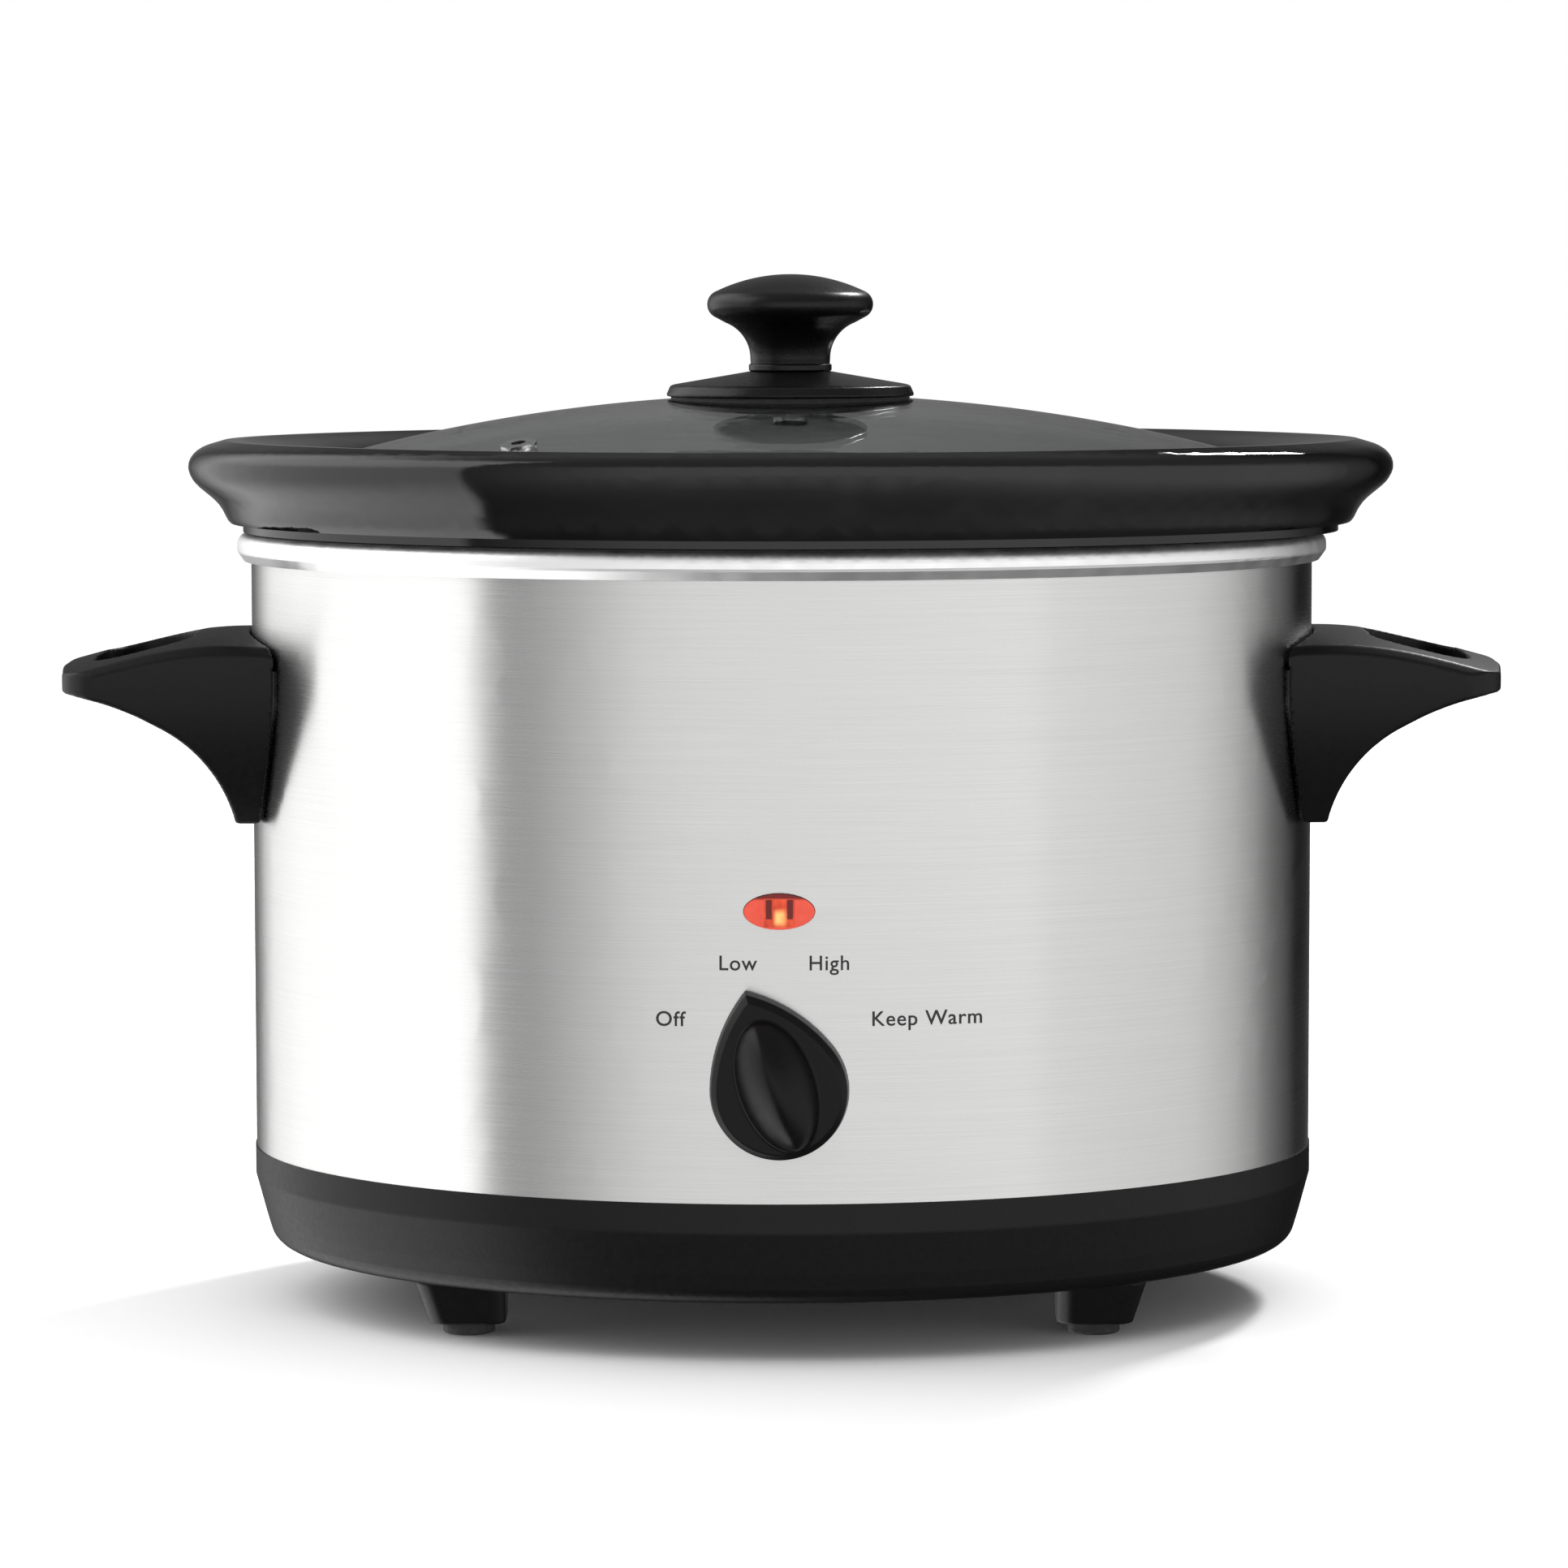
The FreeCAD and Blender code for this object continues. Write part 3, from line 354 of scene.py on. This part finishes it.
def red_lens():
    """Moulded red lens with a darker band along its top and the lamp's two posts painted dark on it; over
    the lamp's well it is painted a darker, mottled red as painted shade and glow, and its middle carries a
    painted glow of the lamp's flame.
    """
    n = Nodes("red_lens")
    place = n.add("SeparateXYZ")
    n.link(n.coordinates, place.inputs["Vector"])
    across, up = place.outputs["X"], place.outputs["Z"]
    n.set(Specular_IOR_Level=0.25)
    red = n.blend(n.spread(n.noise(500, 3), 0, 1), (0.74, 0.080, 0.048), (0.80, 0.100, 0.060))
    red = n.blend(n.within(up, LAMP_Z + 4.8 * MM, 1.7 * MM, 0.8 * MM), red, (0.17, 0.012, 0.010))
    # Painted shade and glow: over the lamp's well the lens is painted a darker, mottled red.
    well = n.both(n.within(across, 0, 3.8 * MM, 0.25 * MM),
                  n.within(up, LAMP_Z - 0.3 * MM, 3.5 * MM, 0.4 * MM))
    well_shade_and_glow = n.blend(n.spread(n.noise(420, 3, (1, 1, 0.5)), 0, 1), (0.42, 0.022, 0.012), (0.80, 0.09, 0.03))
    red = n.blend(well, red, well_shade_and_glow)
    for x in (-2.55, 2.65):
        post = n.both(n.within(across, x * MM, 0.75 * MM, 0.15 * MM),
                      n.within(up, LAMP_Z + 0.6 * MM, 2.4 * MM, 0.2 * MM))
        red = n.blend(post, red, (0.13, 0.012, 0.010))
    n.link(red, n.shader.inputs["Base Color"])
    # Painted glow: the lamp's flame is painted on the middle of the lens as emission.
    core = n.both(n.within(across, 0.2 * MM, 1.3 * MM, 1.6 * MM),
                  n.within(up, LAMP_Z - 1.5 * MM, 1.7 * MM, 2.0 * MM))
    flame = n.both(core, n.spread(n.noise(700, 4, (1, 1, 0.4)), 0.55, 1))
    glow = n.blend(flame, (0.0, 0.0, 0.0), (1.0, 0.62, 0.20))
    n.link(glow, n.shader.inputs["Emission Color"])
    n.shader.inputs["Emission Strength"].default_value = 1.1
    n.roughen(n.noise(800, 2), 0.10, 0.18)
    return n.material


def neon_glow():
    n = Nodes("neon_glass")
    n.tint(n.noise(900, 2), (1.0, 0.45, 0.12), (1.0, 0.62, 0.22))
    n.roughen(n.noise(500, 2), 0.1, 0.2)
    n.shader.inputs["Emission Color"].default_value = (1.0, 0.42, 0.10, 1)
    n.shader.inputs["Emission Strength"].default_value = 8.0
    return n.material


def clear_silicone():
    n = Nodes("clear_silicone")
    n.set(Transmission_Weight=0.5, IOR=1.41)
    n.tint(n.noise(200, 2), (0.72, 0.72, 0.71), (0.80, 0.80, 0.79))
    n.roughen(n.noise(700, 2), 0.25, 0.4)
    return n.material


def heater_fibre():
    n = Nodes("heater_fibre")
    n.tint(n.noise(1500, 4), (0.60, 0.52, 0.40), (0.80, 0.74, 0.62))
    n.roughen(n.noise(900, 2), 0.8, 0.95)
    n.bump(n.noise(1400, 3), 0.0002)
    return n.material


def make_materials():
    """One finish for each material slot of the record."""
    made = {
        "brushed_steel": brushed_steel(),
        "satin_aluminium": spun_aluminium(),
        "black_glaze": black_glaze(),
        "lid_glass": clear_glass(),
        "red_lens": red_lens(),
        "neon_glass": neon_glow(),
        "clear_silicone": clear_silicone(),
        "heater_fibre": heater_fibre(),
    }
    plain = {
        "zinc_steel": ((0.60, 0.61, 0.62), 0.35, 1.0),
        "tinned_brass": ((0.70, 0.62, 0.42), 0.30, 1.0),
        "polished_steel": ((0.70, 0.70, 0.70), 0.12, 1.0),
        "phenolic": ((0.09, 0.06, 0.045), 0.45, 0.0),
        "white_plastic": ((0.75, 0.75, 0.71), 0.45, 0.0),
        "fuse_ceramic": ((0.85, 0.83, 0.79), 0.7, 0.0),
        "black_rubber": ((0.022, 0.022, 0.022), 0.75, 0.0),
        "foot_rubber": ((0.020, 0.020, 0.020), 0.7, 0.0),
        "lead_insulation": ((0.72, 0.69, 0.63), 0.6, 0.0),
        "earth_insulation": ((0.22, 0.42, 0.08), 0.6, 0.0),
    }
    for slot, (colour, rough, metallic) in plain.items():
        made[slot] = plain_material(slot, colour, rough, metallic)
    blacks = (("black_plastic", 0.40, 0.22), ("dial_plastic", 0.36, 0.16), ("knob_phenolic", 0.30, 0.24))
    for slot, rough, shine in blacks:
        made[slot] = plain_material(slot, (0.0032, 0.0032, 0.0034), rough, grain=(600, 0.035), shine=shine)
    return made


def finish_nodes(materials):
    """Gives every CAD node the finish of its slot."""
    for part in frame["record"]["subparts"]:
        mesh = frame["nodes"][part["node"]].data
        mesh.materials.clear()
        mesh.materials.append(materials[part["material_slot"]])


# ---- moulded pieces, with their edges rounded as they leave the mould ----

def moulded(node, voxel, rounds, reshape=None):
    """The node's shape remeshed evenly and smoothed, so that every edge is a small radius. Reshape, if
    given, first changes the mesh."""
    mesh = frame["nodes"][node].data.copy()
    bm = bmesh.new()
    bm.from_mesh(mesh)
    bmesh.ops.remove_doubles(bm, verts=bm.verts, dist=1e-6)
    if reshape is not None:
        reshape(bm)
    bm.to_mesh(mesh)
    bm.free()
    rough = bpy.data.objects.new(node + "_rough", mesh)
    bpy.context.scene.collection.objects.link(rough)
    remesh = rough.modifiers.new("even", "REMESH")
    remesh.mode = "VOXEL"
    remesh.voxel_size = voxel
    remesh.use_smooth_shade = True
    smooth = rough.modifiers.new("soft", "SMOOTH")
    smooth.factor = 0.5
    smooth.iterations = rounds
    bpy.context.view_layer.update()
    made = bpy.data.meshes.new_from_object(rough.evaluated_get(bpy.context.evaluated_depsgraph_get()))
    bpy.data.objects.remove(rough)
    piece = bpy.data.objects.new(node + "_moulded", made)
    bpy.context.scene.collection.objects.link(piece)
    part = next(p for p in frame["record"]["subparts"] if p["node"] == node)
    made.materials.clear()
    made.materials.append(materials[part["material_slot"]])
    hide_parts(node)
    body = next(b for b, nodes in frame["record"]["behaviour"]["bodies"].items() if node in nodes)
    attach(piece, body)


DIAL_PLATE_FRONT = 7.0 * MM      # how far the dial's plate stands out from the wrap
DIAL_REST = math.radians(18.6)   # the pointer at Low, left of straight up
GRIP_CREST = 1.7                 # how sharply the grip rounds over its crest
GRIP_SUNK = 0.8 * MM             # how deep its foot is let into the plate
SKIRT_NECK_R = 10.95
SKIRT_LIP_R = 31.6
SKIRT_LIP_Z = 240.7
SKIRT_SLOPE = 0.170


def soft_grip(bm):
    """In place of the dial's web, an almond-shaped grip with a soft crest, as high and as long."""
    half, long, middle, rise = (9.6 * MM, 16.8 * MM, 1.9 * MM, 10.6 * MM)
    plate = -WRAP_B - DIAL_PLATE_FRONT
    for vertex in bm.verts:
        vertex.co.y = max(vertex.co.y, plate)
    rows, columns = 48, 32

    def grip_vertex(across, along, out):
        x = across * math.cos(DIAL_REST) - along * math.sin(DIAL_REST)
        z = across * math.sin(DIAL_REST) + along * math.cos(DIAL_REST)
        return bm.verts.new((x, plate - out, DIAL_Z + z))

    crown = []
    foot = []
    for i in range(rows + 1):
        v = math.sin(math.pi * (i / rows - 0.5))
        width = math.sqrt(max(0.0, 1 - v * v))
        us = [2 * j / columns - 1 for j in range(columns + 1)]
        along = middle + v * long
        crest = rise * width
        crown.append([grip_vertex(u * half * width, along, crest * (1 - abs(u) ** GRIP_CREST)) for u in us])
        foot.append([grip_vertex(u * half * width, along, -GRIP_SUNK) for u in us])
    for i in range(rows):
        for j in range(columns):
            bm.faces.new((crown[i][j], crown[i][j + 1], crown[i + 1][j + 1], crown[i + 1][j]))
            bm.faces.new((foot[i][j], foot[i + 1][j], foot[i + 1][j + 1], foot[i][j + 1]))
        for j, turn in ((0, 1), (columns, -1)):
            side = (crown[i][j], crown[i + 1][j], foot[i + 1][j], foot[i][j])
            bm.faces.new(side[::turn])
    bmesh.ops.remove_doubles(bm, verts=bm.verts, dist=1e-6)
    bmesh.ops.recalc_face_normals(bm, faces=bm.faces)


def straight_skirt(bm):
    """The skirt's slope drawn straight from its lip to its neck."""
    for vertex in bm.verts:
        r = math.hypot(vertex.co.x - LID_X, vertex.co.y) / MM
        if SKIRT_NECK_R < r < SKIRT_LIP_R - 0.1 and vertex.co.z > (SKIRT_LIP_Z - 0.3) * MM:
            vertex.co.z = max(vertex.co.z, (SKIRT_LIP_Z + (SKIRT_LIP_R - r) * SKIRT_SLOPE) * MM)


# ---- printed scale round the dial ----

INK_PROUD = 0.10 * MM


def legend(word, x, z, ink):
    """Printed word, laid on the curved front of the wrap."""
    curve = bpy.data.curves.new("legend_" + word, "FONT")
    curve.body = word
    curve.size = 5.2 * MM
    curve.space_character = 1.08
    curve.offset = 0.04 * MM
    curve.align_x = "CENTER"
    curve.align_y = "CENTER"
    flat = bpy.data.objects.new("legend_" + word, curve)
    bpy.context.scene.collection.objects.link(flat)
    bpy.context.view_layer.update()
    mesh = bpy.data.meshes.new_from_object(flat.evaluated_get(bpy.context.evaluated_depsgraph_get()))
    bpy.data.objects.remove(flat)
    for vertex in mesh.vertices:
        px = vertex.co.x + x
        vertex.co = Vector((px, -WRAP_B * math.sqrt(1 - (px / WRAP_A) ** 2) - INK_PROUD, vertex.co.y + z))
    printed = bpy.data.objects.new("legend_" + word.replace(" ", "_").lower(), mesh)
    bpy.context.scene.collection.objects.link(printed)
    mesh.materials.clear()
    mesh.materials.append(ink)
    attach(printed, "housing")


bpy.context.scene.view_settings.view_transform = "Standard"
make_camera()
make_world()
make_floor()
area_light("edge_light", (0.85, 1.15, 1.45), (0, 0, 0.24), (0.22, 0.40), 26)
materials = make_materials()
finish_nodes(materials)
for node, voxel, rounds in (("handle_left", 0.5, 6), ("handle_right", 0.5, 6), ("base_legs", 0.5, 3)):
    moulded(node, voxel * MM, rounds)
moulded("dial_knob", 0.3 * MM, 5, soft_grip)
moulded("knob_skirt", 0.3 * MM, 3, straight_skirt)
ink = plain_material("ink", (0.012, 0.012, 0.013), 0.5)
settings = (("Off", -27, 86.8), ("Low", -10.3, 100.8), ("High", 12.3, 100.8), ("Keep Warm", 36.5, 86.8))
for word, x, z in settings:
    legend(word, x * MM, z * MM, ink)
